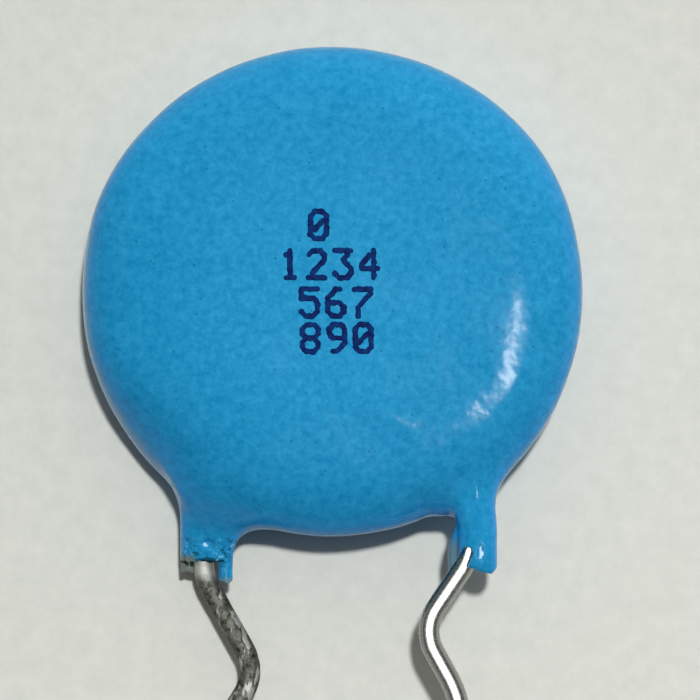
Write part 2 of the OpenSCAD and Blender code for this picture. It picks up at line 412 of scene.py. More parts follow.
def tube(leg, x, y, z, slump=0.0):
    """A shaft's field. Slump lowers its outer side, in mm."""
    drop = -y
    across = x - leg["x"](drop)
    low = slump * ease(0.30 - across / (2.2 * leg["w"](drop)))
    return squarish(across, leg["w"](drop), z - leg["z"](drop) + low, leg["h"](drop), 2.5)


def chip(x, y, z, point, slant, reach):
    """The field that cuts a flat facet through a point: it is positive above the facet, and
    past the facet's reach it rises out of the leg, so that it cuts nothing there."""
    aside = np.hypot((x - point[0]) / reach[0], (y - point[1]) / reach[1]) - 1
    rise = min(reach) * np.maximum(aside, 0)
    return z - point[2] + slant[0] * (x - point[0]) + slant[1] * (y - point[1]) - rise


def strip(x, y, z, middle, half, reach, ripple, rounding):
    """A strip of coat down the wire's side, to a ragged end; middle and half are in x and z."""
    around = oval(x - middle[0], half[0], z - middle[1], half[1])
    end = reach + 0.03 * np.sin(ripple * x)
    return smooth_max(around, np.maximum(-y - end, y + STRIP_TOP), rounding)


def front_leg_field(x, y, z):
    """The right-hand leg with its lip, its chip, its web and the wire's slot."""
    lip = np.interp(x, LIP_X, LIP_DROP)
    body = smooth_max(tube(FRONT_LEG, x, y, z), -y - lip, 0.16)
    body = smooth_max(body, chip(x, y, z, **FRONT_CHIP), 0.006)
    web = smooth_max(tube(WEB, x, y, z), -y - WEB_END + 0.3 * (x - LIP_X[0]), 0.12)
    whole = smooth_min(body, web, 0.16)
    slot = np.maximum(to_line(x, y, SLOT) - SLOT_HALF, SLOT_FLOOR - z)
    return np.maximum(smooth_max(whole, -slot, 0.06), LEG_TOP + y)


def rear_leg_field(x, y, z):
    """The left-hand leg with its broken edge and its chip."""
    rag = 0.025 * np.sin(11 * x + 1) + 0.015 * np.sin(29 * x + 7 * z)
    body = smooth_max(tube(REAR_LEG, x, y, z, REAR_SLUMP), -y - REAR_LEG_END - rag, 0.035)
    body = smooth_max(body, chip(x, y, z, **REAR_CHIP), 0.008)
    return np.maximum(body, LEG_TOP + y)


def coat_field(p):
    """The whole coat's field at points p, an array of rows x, y, z."""
    x, y, z = p[..., 0], p[..., 1], p[..., 2]
    disc = disc_field(x, y, z)
    outward = ease((x - FRONT_LEG["x"](-y)) / 0.5 + 0.5)
    front = front_leg_field(x, y, z)
    field = smooth_min(disc, front, FRONT_JOIN + FRONT_JOIN_OUTER * outward)
    rear = rear_leg_field(x, y, z)
    strips = smooth_min(strip(x, y, z, **FILM), strip(x, y, z, **TAB), 0.02)
    rear = smooth_min(rear, strips, 0.05)
    inward = ease((x - REAR_LEG["x"](-y)) / 0.5 + 0.5)
    drape = REAR_DRAPE * ease((z + 0.1) / 0.6)
    return smooth_min(field, rear, REAR_JOIN + REAR_JOIN_INNER * inward + drape * (1 - inward))


print("coat over the front wire, mm:", -round(float(coat_field(np.array([3.84, -6.8, 0.98]))), 3))

# %% [markdown]
# ## From field to mesh
#
# Surface nets turn a field into quads: every grid cell that the surface crosses gets one
# point, and every grid edge that it crosses gets one face between the four cells round it.
# The grid is finer round the legs, where the small forms are. Then each point is drawn
# onto the true surface, and the field's own slope gives its normal, so the coat shades as
# smoothly as glazed ware.

# %% Surface nets
def grid_axis(stretches):
    """Grid lines from (start, stop, step) stretches that follow each other."""
    lines = [np.linspace(a, b, max(int(round((b - a) / s)), 1) + 1)[:-1] for a, b, s in stretches]
    return np.append(np.concatenate(lines), stretches[-1][1])


def slope(field, p, e=1e-3):
    """The field's gradient at points p."""
    steps = np.eye(3) * e
    return np.stack([(field(p + s) - field(p - s)) / (2 * e) for s in steps], -1)


def cells_round(index, axis):
    """The four cells round each grid edge along an axis, in the order of a ring."""
    for du, dv in ((0, 0), (1, 0), (1, 1), (0, 1)):
        cell = index.copy()
        cell[:, (axis + 1) % 3] -= du
        cell[:, (axis + 2) % 3] -= dv
        yield tuple(cell.T)


def surface_net(field, xs, ys, zs):
    """Points and quads of the surface where the field is zero."""
    corners = np.stack(np.meshgrid(xs, ys, zs, indexing="ij"), -1)
    value = field(corners)
    inside = value < 0
    cell_shape = tuple(n - 1 for n in value.shape)
    total = np.zeros((*cell_shape, 3))
    count = np.zeros(cell_shape)
    crossings = []
    for axis in range(3):
        lo, hi = (
            tuple(cut if k == axis else slice(None) for k in range(3))
            for cut in (slice(None, -1), slice(1, None))
        )
        index = np.argwhere(inside[lo] != inside[hi])
        index = index[((index > 0) | (np.arange(3) == axis)).all(1)]
        at = tuple(index.T)
        a, b = value[lo][at], value[hi][at]
        t = (a / (a - b))[:, None]
        where = corners[lo][at] * (1 - t) + corners[hi][at] * t
        crossings.append((axis, index, a < 0))
        for cell in cells_round(index, axis):
            np.add.at(total, cell, where)
            np.add.at(count, cell, 1)
    used = count > 0
    number = np.full(cell_shape, -1)
    number[used] = np.arange(used.sum())
    points = total[used] / count[used][:, None]
    faces = []
    for axis, index, falls_inside in crossings:
        quad = np.stack([number[cell] for cell in cells_round(index, axis)], 1)
        quad[~falls_inside] = quad[~falls_inside][:, ::-1]
        faces.append(quad)
    return points, np.concatenate(faces)


def settle(field, points, rounds=4, most=0.03, least=1e-6):
    """Points drawn onto the surface, and their outward normals. No step is longer than most
    mm, and least keeps a step finite where the field is level."""
    for _ in range(rounds):
        g = slope(field, points)
        step = field(points)[:, None] * g / np.maximum((g * g).sum(1), least)[:, None]
        length = np.linalg.norm(step, axis=1, keepdims=True)
        points = points - step * np.minimum(1, most / np.maximum(length, TINY))
    g = slope(field, points)
    return points, g / np.linalg.norm(g, axis=1, keepdims=True)


coarse = 1.0
OPEN_STEP, LEG_STEP_X, LEG_STEP_Y, STEP_Z = (coarse * step for step in (0.12, 0.052, 0.05, 0.068))
net_x = grid_axis(
    [(-7.2, -4.6, OPEN_STEP), (-4.6, -2.5, LEG_STEP_X), (-2.5, 2.9, OPEN_STEP)]
    + [(2.9, 4.9, LEG_STEP_X), (4.9, 7.2, OPEN_STEP)]
)
net_y = grid_axis([(-8.3, -5.6, LEG_STEP_Y), (-5.6, 7.2, OPEN_STEP)])
net_z = grid_axis([(-1.86, 1.86, STEP_Z)])
coat_points, coat_faces = surface_net(coat_field, net_x, net_y, net_z)
coat_points, coat_normals = settle(coat_field, coat_points)
print("coat:", len(coat_points), "points,", len(coat_faces), "faces")

# %% The coat as a piece
coat = mesh_object("dip_coat", coat_points, faces=coat_faces.tolist())
coat.data.validate()
coat.data.shade_smooth()
coat.data.normals_split_custom_set_from_vertices(coat_normals.tolist())
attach(coat, "root")
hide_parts("epoxy_coating")
print("coat box in mm:", coat_points.min(0).round(3), coat_points.max(0).round(3))

# %% [markdown]
# ## Where the coat differs
#
# A dipped coat isn't the same all over. Painted shade darkens it towards the rim, most at the
# lower left, and a painted glow of light from within makes it a richer blue where it curves
# away, most along the lower edge. It shows the wire through the film, the tab's end and the
# web. Painted shade darkens the broken edge where it faces down and the gap round the wire
# there, and the coat is crusty above it, with painted shade in its hollows and painted glints
# on its crests. Each of these is a number from 0 to 1, worked out in mm and stored for every
# point of the mesh, where the material reads it. So the finish stays on the form.

# %% Numbers for the material
px, py, pz = coat_points.T
round_r, round_turn = np.hypot(px, py), np.arctan2(py, px)


def near(middle, reach):
    """1 round the middle, and 0 soon after the reach."""
    u, v = (px - middle[0]) / reach[0], (py - middle[1]) / reach[1]
    return np.exp(-((u**2 + v**2) ** 2))


film = ease((-3.80 - px) / 0.06) * ease((-7.20 - py) / 0.20) * ease((0.05 - pz) / 0.1)
tab_end = ease((px + 3.25) / 0.08) * ease((-2.6 - px) / 0.05) * ease((-7.86 - py) / 0.12)
web = ease((3.62 - px) / 0.15) * ease((px - 2.9) / 0.1) * ease((-6.55 - py) / 0.6)
front_chip = near((4.12, -7.15), (0.14, 0.26)) * (pz > 0)
rear_chip = near((-3.51, -6.97), (0.25, 0.25))
crust = ease((-6.65 - py) / 0.3) * (0.35 + 0.65 * ease((7.5 + py) / 0.3)) * (px < 0)
# Painted shade: the broken edge where it faces down, and the gap round the wire below it, are
# coloured dark as if in shade
broken = ease((-7.38 - py) / 0.04) * ease((7.56 + py) / 0.04) * (px < 0)
wire_gap_shade = np.exp(-(((px + 3.47) / 0.34) ** 4)) * ease((-7.34 - py) / 0.05) * (pz > -0.5)
# Painted shade: strongest at the lower left, weakest at the upper right
shade_towards_lower_left = 0.62 + 0.38 * np.cos(round_turn - np.radians(222))
# Painted light from within: strongest along the lower edge, weakest along the top
glow_towards_bottom = 0.62 - 0.38 * np.sin(round_turn)
numbers = {
    "film": np.maximum(np.maximum(film, 0.75 * tab_end), 0.7 * web),
    "crust": crust * (1 - rear_chip),
    "chipped": rear_chip + front_chip,
    # painted shade, darker towards the rim and most at the lower left
    "deep": ease((round_r - 1.8) / 3.6) * shade_towards_lower_left,
    # painted glow of light from within, a richer blue where the coat curves away
    "edge": ease((0.90 - coat_normals[:, 2]) / 0.45) * glow_towards_bottom,
    # painted shade on the broken edge and in the wire's gap
    "broken": np.maximum((coat_normals[:, 1] < -0.75) * broken, wire_gap_shade),
}
for quality, values in numbers.items():
    made = coat.data.attributes.new(quality, "FLOAT", "POINT")
    made.data.foreach_set("value", np.asarray(values, np.float32))
    print(quality, "on", int((values > 0.5).sum()), "points")

# %% [markdown]
# ## Blue epoxy
#
# Capacitors of this kind are dipped in a filled epoxy, pigmented blue. It cures hard and
# glossy, with the faint orange peel and the few pinholes of a coat that was never rubbed
# down, and the filler gives the colour a fine grain. That calls for a plastic shader with
# an index of 1.5 and a low, uneven roughness. The patterns are worked out in mm: a grain of
# 0.1, drawn twice as coarse so that it shows, a peel of 0.3, pinholes 0.1 wide and about a
# millimetre apart, and dark specks a little smaller and half a millimetre apart.
#
# The colour is built up in layers: a blue that varies with its grain, the specks, painted
# shade that darkens the face towards the rim and most at the lower left, a painted glow of
# light from within that makes the curved edges a richer blue, most along the lower edge, the
# grey of tin through a film, painted shade on the broken edge and in the gap round the wire,
# and in the crust painted shade in its hollows and painted glints on its crests. The filler
# also dulls the mirror in the gloss, so the specular level is low.

# %% Epoxy material
NOISES = {
    "grain": clouds(4.2, 3.0, 0.75),
    "cloud": clouds(0.9, 2.0, 0.5),
    "peel": clouds(3.2, 1.5, 0.4),
    "scales": clouds(6.5, 2.0, 0.6),
}
SPOTS = {  # number per mm, the two distances between which a spot fades, its strength
    "pit": (1.0, 0.015, 0.05, 1.0),
    "speck": (2.15, 0.045, 0.09, 0.55),
}
# Painted light in the crust: shade where its bump is low, glints where it is high
PATCHES = {  # the two heights of the scales between which a patch of crust grows, its strength
    "crest_glint": (0.60, 0.66, 0.75),
    "hollow_shade": (0.44, 0.36, 0.8),
}

epoxy, tree, where = new_material("blue_dip_epoxy")
mask = {
    name: add_node(tree, "ShaderNodeAttribute", attribute_name=name).outputs["Fac"]
    for name in numbers
}
noise = {
    name: add_node(tree, "ShaderNodeTexNoise", values=values, links={"Vector": where})
    for name, values in NOISES.items()
}
for name, (per_mm, core, rim, strength) in SPOTS.items():
    cells = add_node(
        tree, "ShaderNodeTexVoronoi", values={"Scale": per_mm}, links={"Vector": where}
    )
    mask[name] = add_node(
        tree, "ShaderNodeMapRange", values=span(core, rim, strength, 0.0), links={"Value": cells}
    )
for name, (none, full, strength) in PATCHES.items():
    patch = add_node(
        tree,
        "ShaderNodeMapRange",
        values=span(none, full, 0.0, strength),
        links={"Value": noise["scales"]},
    )
    mask[name] = add_node(
        tree, "ShaderNodeMath", operation="MULTIPLY", links={0: patch, 1: mask["crust"]}
    )

tone = add_node(
    tree,
    "ShaderNodeMix",
    data_type="FLOAT",
    values={FACTOR: 0.12},
    links={FLOAT_A: noise["grain"], FLOAT_B: noise["cloud"]},
)
blue = add_node(
    tree, "ShaderNodeValToRGB", links={"Fac": tone}, stops=[(0.30, "#1184ba"), (0.70, "#349fd3")]
)
colour = blue.outputs["Color"]
for name, blend, tint in (
    ("speck", "MIX", linear("#0a4f78")),
    # painted shade towards the rim and the lower left
    ("deep", "MULTIPLY", (0.62, 0.86, 0.88, 1.0)),
    # painted light from within on the curved edges
    ("edge", "MULTIPLY", (0.78, 1.24, 1.48, 1.0)),
    ("film", "MIX", linear("#6f7a72")),
    # painted shade on the broken edge and in the gap round the wire
    ("broken", "MIX", linear("#0d2830")),
    # painted shade in the hollows of the crust
    ("hollow_shade", "MIX", linear("#0c4450")),
    # painted glints on the crests of the crust
    ("crest_glint", "MIX", linear("#7fd0ee")),
):
    layer = add_node(
        tree,
        "ShaderNodeMix",
        data_type="RGBA",
        blend_type=blend,
        values={COLOUR_B: tint},
        links={FACTOR: mask[name], COLOUR_A: colour},
    )
    colour = layer.outputs[COLOUR_OUT]

crust_height = add_node(
    tree, "ShaderNodeMath", operation="MULTIPLY", links={0: noise["scales"], 1: mask["crust"]}
)
# The peel's waves would scatter the chips' sparks, so the chips have none
peel_strength = add_node(
    tree, "ShaderNodeMapRange", values=span(0.0, 1.0, 0.24, 0.0), links={"Value": mask["chipped"]}
)
peel_bump = add_node(
    tree,
    "ShaderNodeBump",
    values={"Distance": 0.02 * MM},
    links={"Strength": peel_strength, "Height": noise["peel"]},
)
pit_bump = add_node(
    tree,
    "ShaderNodeBump",
    invert=True,
    values={"Strength": 0.5, "Distance": 0.02 * MM},
    links={"Height": mask["pit"], "Normal": peel_bump},
)
crust_bump = add_node(
    tree,
    "ShaderNodeBump",
    values={"Strength": 0.9, "Distance": 0.07 * MM},
    links={"Height": crust_height, "Normal": pit_bump},
)
gloss = add_node(
    tree, "ShaderNodeMapRange", values=span(0.3, 0.7, 0.09, 0.14), links={"Value": noise["cloud"]}
)
shader = add_node(
    tree,
    "ShaderNodeBsdfPrincipled",
    values={"IOR": 1.5, "Specular IOR Level": 0.13},
    links={"Base Color": colour, "Roughness": gloss, "Normal": crust_bump},
)
add_node(tree, "ShaderNodeOutputMaterial", links={"Surface": shader})
coat.data.materials.append(epoxy)
print("epoxy nodes:", len(tree.nodes))

# %% [markdown]
# ## The leads
#
# A lead is 0.58 mm copper-clad wire, dipped in tin. A press bends the kink that holds the
# part off the board, and its jaws leave nicks. Wire that follows a path is a natural job
# for Geometry Nodes: the path is a line of points, the tree sweeps a circle along it, and
# noise sinks the nicks. Here the path is worked out from the corners and bend radii of the
# CAD model, in the same order, from the soldered end to the tip of the foot.

# %% The leads' paths
WIRE_R = 0.29
WIRE_Z = 0.69
PATH_STEP = 0.09
FOOT_TIP = -26.0
LEADS = {
    "front_lead": dict(
        side=1,
        corners=[(-0.2, -1.97), (0.5, -2.72), (3.79, -4.7), (3.845, -7.3)]
        + [(2.495, -9.3), (3.6, -11.3), (3.6, FOOT_TIP)],
        bends=[0, 1.5, 0.8, 1.5, 1.2, 3.0, 0],
        nick_depth=0.006,
        seed=2.0,
    ),
    "rear_lead": dict(
        side=-1,
        corners=[(0.2, -1.97), (-0.5, -2.72), (-3.55, -4.7), (-3.605, -7.85)]
        + [(-2.105, -10.55), (-3.9, -13.5), (-3.9, FOOT_TIP)],
        bends=[0, 1.5, 0.8, 1.5, 1.2, 1.2, 0],
        nick_depth=0.028,
        seed=5.0,
    ),
}


def rounded_path(corners, radii, step):
    """Points along straight stretches and arcs."""
    corners = [np.array(c, float) for c in corners]
    path = [corners[0]]
    for before, corner, after, r in zip(corners, corners[1:], corners[2:], radii[1:]):
        a = (corner - before) / np.linalg.norm(corner - before)
        b = (after - corner) / np.linalg.norm(after - corner)
        turn = np.arctan2(a[0] * b[1] - a[1] * b[0], a @ b)
        cut = r * np.tan(abs(turn) / 2)
        start = corner - a * cut
        inward = np.array([-a[1], a[0]]) * np.sign(turn)
        centre = start + inward * r
        bits = max(int(np.ceil(abs(turn) * r / step)), 3)
        for t in np.linspace(0, turn, bits + 1):
            c, s = np.cos(t), np.sin(t)
            path.append(centre + np.array([[c, -s], [s, c]]) @ (start - centre))
    path.append(corners[-1])
    filled = [path[0]]
    for a, b in zip(path, path[1:]):
        n = max(int(round(np.linalg.norm(b - a) / step)), 1)
        filled += [a + (b - a) * i / n for i in range(1, n + 1)]
    return np.array(filled)


for node_name, drawing in LEADS.items():
    drawing["path"] = rounded_path(drawing["corners"], drawing["bends"], PATH_STEP)
    length = np.linalg.norm(np.diff(drawing["path"], axis=0), axis=1).sum()
    print(node_name, "is", round(float(length), 2), "mm long")

# %% [markdown]
# ## Tinned wire
#
# Hot tin leaves a wire bright. One lead kept that. On the other the tin is dull, and dark and
# nicked between its leg and its foot, where the jaws held it. Metal has hardly a colour of
# its own: what the eye takes for grey is the room in it. That calls for a metallic shader,
# with marks of wire drawing 0.06 mm wide in its roughness and dark patches a third of a
# millimetre wide and a millimetre long in its colour.

# %% Tinned wire material
def tinned_wire(name, dull, nick_share, marked_below):
    """Tinned wire: dull is its least roughness, nick_share says how much of it is marked,
    and marked_below is the Y in mm below which the marks begin."""
    material, tree, where = new_material(name)
    stretched = add_node(
        tree, "ShaderNodeMapping", values={"Scale": (3.2, 1.1, 3.2)}, links={"Vector": where}
    )
    marks = add_node(
        tree, "ShaderNodeTexNoise", values=clouds(1.0, 3.0, 0.62), links={"Vector": stretched}
    )
    drawn = add_node(
        tree, "ShaderNodeTexNoise", values=clouds(16.0, 2.0, 0.6), links={"Vector": where}
    )
    nick = add_node(
        tree,
        "ShaderNodeMapRange",
        values=span(0.66 - nick_share, 0.72 - nick_share),
        links={"Value": marks},
    )
    height = add_node(tree, "ShaderNodeSeparateXYZ", links={"Vector": where}).outputs["Y"]
    below_leg, above_foot = span(marked_below, marked_below + 0.25, 1.0, 0.0), span(0.6, 2.2)
    marked = nick
    for limits in (below_leg, above_foot):
        within = add_node(tree, "ShaderNodeMapRange", values=limits, links={"Value": height})
        marked = add_node(
            tree, "ShaderNodeMath", operation="MULTIPLY", links={0: marked, 1: within}
        )
    grit = add_node(
        tree, "ShaderNodeTexNoise", values=clouds(6.0, 3.0, 0.7), links={"Vector": where}
    )
    worn = add_node(
        tree,
        "ShaderNodeValToRGB",
        links={"Fac": grit},
        stops=[(0.36, "#30302d"), (0.54, "#61625b")],
    )
    tin = add_node(
        tree,
        "ShaderNodeMix",
        data_type="RGBA",
        values={COLOUR_A: linear("#a2a49f")},
        links={FACTOR: marked, COLOUR_B: worn},
    )
    rough = add_node(
        tree, "ShaderNodeMapRange", values=span(0.3, 0.7, dull, dull + 0.14), links={"Value": drawn}
    )
    fine = add_node(
        tree,
        "ShaderNodeBump",
        values={"Strength": 0.10, "Distance": 0.008 * MM},
        links={"Height": drawn},
    )
    dents = add_node(
        tree,
        "ShaderNodeBump",
        invert=True,
        values={"Strength": 0.55, "Distance": 0.03 * MM},
        links={"Height": nick, "Normal": fine},
    )
    shader = add_node(
        tree,
        "ShaderNodeBsdfPrincipled",
        values={"Metallic": 1.0},
        links={"Base Color": tin.outputs[COLOUR_OUT], "Roughness": rough, "Normal": dents},
    )
    add_node(tree, "ShaderNodeOutputMaterial", links={"Surface": shader})
    return material


wire_finish = {
    "front_lead": tinned_wire("bright_tinned_wire", dull=0.20, nick_share=0.0, marked_below=8.0),
    "rear_lead": tinned_wire("scuffed_tinned_wire", dull=0.60, nick_share=0.27, marked_below=5.95),
}
print("wire finishes:", [m.name for m in wire_finish.values()])

# %% Geometry Nodes that sweep a wire
def new_tree(name, takes, gives):
    """A Geometry Nodes tree and its named inputs, each with its kind."""
    tree = bpy.data.node_groups.new(name, "GeometryNodeTree")
    for label, kind in takes.items():
        tree.interface.new_socket(label, in_out="INPUT", socket_type="NodeSocket" + kind)
    tree.interface.new_socket(gives, in_out="OUTPUT", socket_type="NodeSocketGeometry")
    return tree, add_node(tree, "NodeGroupInput").outputs


def finish_tree(tree, geometry, material, gives):
    """The end of every tree here: smooth shading, real faces, and their material."""
    smooth = add_node(tree, "GeometryNodeSetShadeSmooth", links={"Geometry": geometry})
    real = add_node(tree, "GeometryNodeRealizeInstances", links={"Geometry": smooth})
    finished = add_node(
        tree, "GeometryNodeSetMaterial", links={"Geometry": real, "Material": material}
    )
    add_node(tree, "NodeGroupOutput", links={gives: finished})


def wire_tree():
    """A tree that sweeps a round wire along a line of points and sinks nicks in it."""
    floats = dict.fromkeys(("Wire radius", "Nick depth", "Nicks per metre", "Seed"), "Float")
    takes = {"Path": "Geometry", **floats, "Sides": "Int", "Finish": "Material"}
    tree, given = new_tree("sweep_wire", takes, "Wire")
    curve = add_node(tree, "GeometryNodeMeshToCurve", links={"Mesh": given["Path"]})
    circle = add_node(
        tree,
        "GeometryNodeCurvePrimitiveCircle",
        links={"Resolution": given["Sides"], "Radius": given["Wire radius"]},
    )
    swept = add_node(
        tree,
        "GeometryNodeCurveToMesh",
        values={"Fill Caps": True},
        links={"Curve": curve, "Profile Curve": circle},
    )
    noise = add_node(
        tree,
        "ShaderNodeTexNoise",
        noise_dimensions="4D",
        values={"Detail": 2.0, "Roughness": 0.6},
        links={"W": given["Seed"], "Scale": given["Nicks per metre"]},
    )
    sunk = add_node(
        tree, "ShaderNodeMapRange", values=span(0.52, 0.72, 0.0, -1.0), links={"Value": noise}
    )
    depth = add_node(
        tree, "ShaderNodeMath", operation="MULTIPLY", links={0: sunk, 1: given["Nick depth"]}
    )
    normal = add_node(tree, "GeometryNodeInputNormal")
    push = add_node(
        tree, "ShaderNodeVectorMath", operation="SCALE", links={"Vector": normal, "Scale": depth}
    )
    nicked = add_node(tree, "GeometryNodeSetPosition", links={"Geometry": swept, "Offset": push})
    finish_tree(tree, nicked, given["Finish"], "Wire")
    return tree


def grown(name, source, tree, inputs):
    """The plain mesh that a tree makes from a source object, as a new piece."""
    modifier = source.modifiers.new("grow", "NODES")
    modifier.node_group = tree
    for item in tree.interface.items_tree:
        if item.in_out == "INPUT" and item.name in inputs:
            modifier[item.identifier] = inputs[item.name]
    graph = bpy.context.evaluated_depsgraph_get()
    mesh = bpy.data.meshes.new_from_object(source.evaluated_get(graph), depsgraph=graph)
    source.modifiers.remove(modifier)
    bpy.data.objects.remove(source)
    mesh.name = name
    return add_object(name, mesh)


sweep = wire_tree()
print("wire tree inputs:", [i.name for i in sweep.interface.items_tree if i.in_out == "INPUT"])

# %% The two leads
for node_name, drawing in LEADS.items():
    flat_path = drawing["path"]
    path = np.column_stack([flat_path, np.full(len(flat_path), drawing["side"] * WIRE_Z)])
    steps = [(i, i + 1) for i in range(len(path) - 1)]
    lead = grown(
        node_name + "_wire",
        mesh_object("path_of_" + node_name, path, edges=steps),
        sweep,
        {
            "Wire radius": WIRE_R * MM,
            "Nick depth": drawing["nick_depth"] * MM,
            "Nicks per metre": 1400.0,
            "Seed": drawing["seed"],
            "Sides": 28,
            "Finish": wire_finish[node_name],
        },
    )
    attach(lead, "root")
    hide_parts(node_name)
    print(lead.name, len(lead.data.polygons), "faces", [m.name for m in lead.data.materials])

# %% [markdown]
# ## The marking
#
# A drop-on-demand printer writes such a part's values in dots of ink. The values belong to
# no real part here: the rows hold plain digits in counting order. Each digit is five dots
# wide and seven high, and the ink runs together, so there is a dot half way between two
# that touch as well. A mesh of single points holds the dots' places, and a tree puts a low
# round blot on each, a little off its place and a little larger or smaller, because the
# part moves under the printer. A blot has few faces, because there are so many.

# %% Dots of the digits
DIGITS = {
    "0": "01110 10001 10011 10101 11001 10001 01110",
    "1": "00100 01100 00100 00100 00100 00100 01110",
    "2": "01110 10001 00001 00010 00100 01000 11111",
    "3": "11111 00010 00100 00010 00001 10001 01110",
    "4": "00010 00110 01010 10010 11111 00010 00010",
    "5": "11111 10000 11110 00001 00001 10001 01110",
    "6": "00110 01000 10000 11110 10001 10001 01110",
    "7": "11111 00001 00010 00100 01000 01000 01000",
    "8": "01110 10001 10001 01110 10001 10001 01110",
    "9": "01110 10001 10001 01111 00001 00010 01100",
}
# Each row's digits, its left end and its middle
ROWS = [("0", -0.59, 1.90), ("1234", -1.37, 0.82), ("567", -0.84, -0.24), ("890", -0.81, -1.22)]
DOT_PITCH = (0.110, 0.124)
DIGIT_PITCH = 0.73
DOT_R = 0.084
DOT_H = 0.003
DOT_STRAY = 0.010
MIDDLE_DOT = 4


def face_z(x, y):
    """Height of the coat's front face at x, y."""
    z = np.full(np.shape(x), COAT_HALF)
    for _ in range(4):
        z = z - coat_field(np.stack([x, y, z], -1))
    return z


def marking_points():
    """Where each dot of ink lands, from the rows' left ends and middles."""
    found = []
    for text, left, middle in ROWS:
        for place, digit in enumerate(text):
            on = np.pad([[dot == "1" for dot in line] for line in DIGITS[digit].split()], 1)
            for j, i in np.argwhere(on):
                spots = [(i, j)]
                for di, dj in ((1, 0), (0, 1), (1, 1), (-1, 1)):
                    corner = di and dj and (on[j, i + di] or on[j + dj, i])
                    if on[j + dj, i + di] and not corner:
                        spots.append((i + di / 2, j + dj / 2))
                for u, v in spots:
                    x = left + place * DIGIT_PITCH + (u - 1) * DOT_PITCH[0]
                    found.append((x, middle + (MIDDLE_DOT - v) * DOT_PITCH[1]))
    xy = np.array(found)
    return np.column_stack([xy, face_z(*xy.T)])


dots = marking_points()
print("ink dots:", len(dots), "heights", dots[:, 2].min().round(3), dots[:, 2].max().round(3))

# %% [markdown]
# ## Marking ink
#
# The ink is a navy dye in a quick solvent. It dries without gloss, darker where it pooled
# and bluer where it ran thin over the blue. That calls for a plain rough shader between
# two navies, uneven over 0.2 mm.

# %% Ink material
ink, tree, where = new_material("navy_marking_ink")
uneven = add_node(tree, "ShaderNodeTexNoise", values=clouds(5.0, 3.0, 0.6), links={"Vector": where})
navy = add_node(
    tree, "ShaderNodeValToRGB", links={"Fac": uneven}, stops=[(0.35, "#021450"), (0.75, "#05387c")]
)
shader = add_node(
    tree,
    "ShaderNodeBsdfPrincipled",
    values={"Roughness": 0.5, "IOR": 1.48, "Specular IOR Level": 0.1},
    links={"Base Color": navy},
)
add_node(tree, "ShaderNodeOutputMaterial", links={"Surface": shader})
print("ink nodes:", len(tree.nodes))

# %% Geometry Nodes that print the dots
def print_tree():
    """A tree that puts a low blot on every point."""
    floats = dict.fromkeys(("Dot radius", "Dot height", "Stray"), "Float")
    takes = {"Places": "Geometry", **floats, "Seed": "Int", "Finish": "Material"}
    tree, given = new_tree("print_dots", takes, "Dots")
    points = add_node(tree, "GeometryNodeMeshToPoints", links={"Mesh": given["Places"]})
    off = add_node(
        tree,
        "FunctionNodeRandomValue",
        data_type="FLOAT_VECTOR",
        values={0: (-1.0, -1.0, 0.0), 1: (1.0, 1.0, 0.0)},
        links={"Seed": given["Seed"]},
    )
    stray = add_node(
        tree,
        "ShaderNodeVectorMath",
        operation="SCALE",
        links={"Vector": off, "Scale": given["Stray"]},
    )
    placed = add_node(tree, "GeometryNodeSetPosition", links={"Geometry": points, "Offset": stray})
    ball = add_node(
        tree,
        "GeometryNodeMeshUVSphere",
        values={"Segments": 12, "Rings": 4},
        links={"Radius": given["Dot radius"]},
    )
    flatness = add_node(
        tree,
        "ShaderNodeMath",
        operation="DIVIDE",
        links={0: given["Dot height"], 1: given["Dot radius"]},
    )
    squash = add_node(
        tree, "ShaderNodeCombineXYZ", values={"X": 1.0, "Y": 1.0}, links={"Z": flatness}
    )
    blot = add_node(tree, "GeometryNodeTransform", links={"Geometry": ball, "Scale": squash})
    # Inputs 2 and 3 and output 1 are this node's range and result for plain numbers
    size = add_node(
        tree,
        "FunctionNodeRandomValue",
        data_type="FLOAT",
        values={2: 0.86, 3: 1.12},
        links={"Seed": given["Seed"]},
    )
    stamped = add_node(
        tree,
        "GeometryNodeInstanceOnPoints",
        links={"Points": placed, "Instance": blot, "Scale": size.outputs[1]},
    )
    finish_tree(tree, stamped, given["Finish"], "Dots")
    return tree


marking = grown(
    "marking",
    mesh_object("places_of_dots", dots),
    print_tree(),
    {
        "Dot radius": DOT_R * MM,
        "Dot height": DOT_H * MM,
        "Stray": DOT_STRAY * MM,
        "Seed": 7,
        "Finish": ink,
    },
)
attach(marking, "root")
print("marking:", len(marking.data.polygons), "faces")

# %% [markdown]
# ## What the coat hides
#
# The ceramic, its silver electrodes and the solder are CAD solids whose shapes are right,
# so they stay. They get their real finishes for anyone who opens the part up: fired
# ceramic with a fine speckle, matte fired silver with the weave of the screen that it was
# printed through, and solder with its dull crystal skin. A CAD solid that a finer mesh
# stands for gets that mesh's finish.

# %% Finishes of the hidden pieces
def hidden_finish(name, dark, light, per_mm, metallic, roughness, bump_mm):
    """A speckled finish: two tones, a pattern of its own scale in mm, and its relief."""
    material, tree, where = new_material(name)
    pattern = add_node(
        tree, "ShaderNodeTexNoise", values=clouds(per_mm, 4.0, 0.65), links={"Vector": where}
    )
    tones = add_node(
        tree, "ShaderNodeValToRGB", links={"Fac": pattern}, stops=[(0.35, dark), (0.65, light)]
    )
    relief = add_node(
        tree,
        "ShaderNodeBump",
        values={"Strength": 0.5, "Distance": bump_mm * MM},
        links={"Height": pattern},
    )
    shader = add_node(
        tree,
        "ShaderNodeBsdfPrincipled",
        values={"Metallic": metallic, "Roughness": roughness},
        links={"Base Color": tones, "Normal": relief},
    )
    add_node(tree, "ShaderNodeOutputMaterial", links={"Surface": shader})
    return material


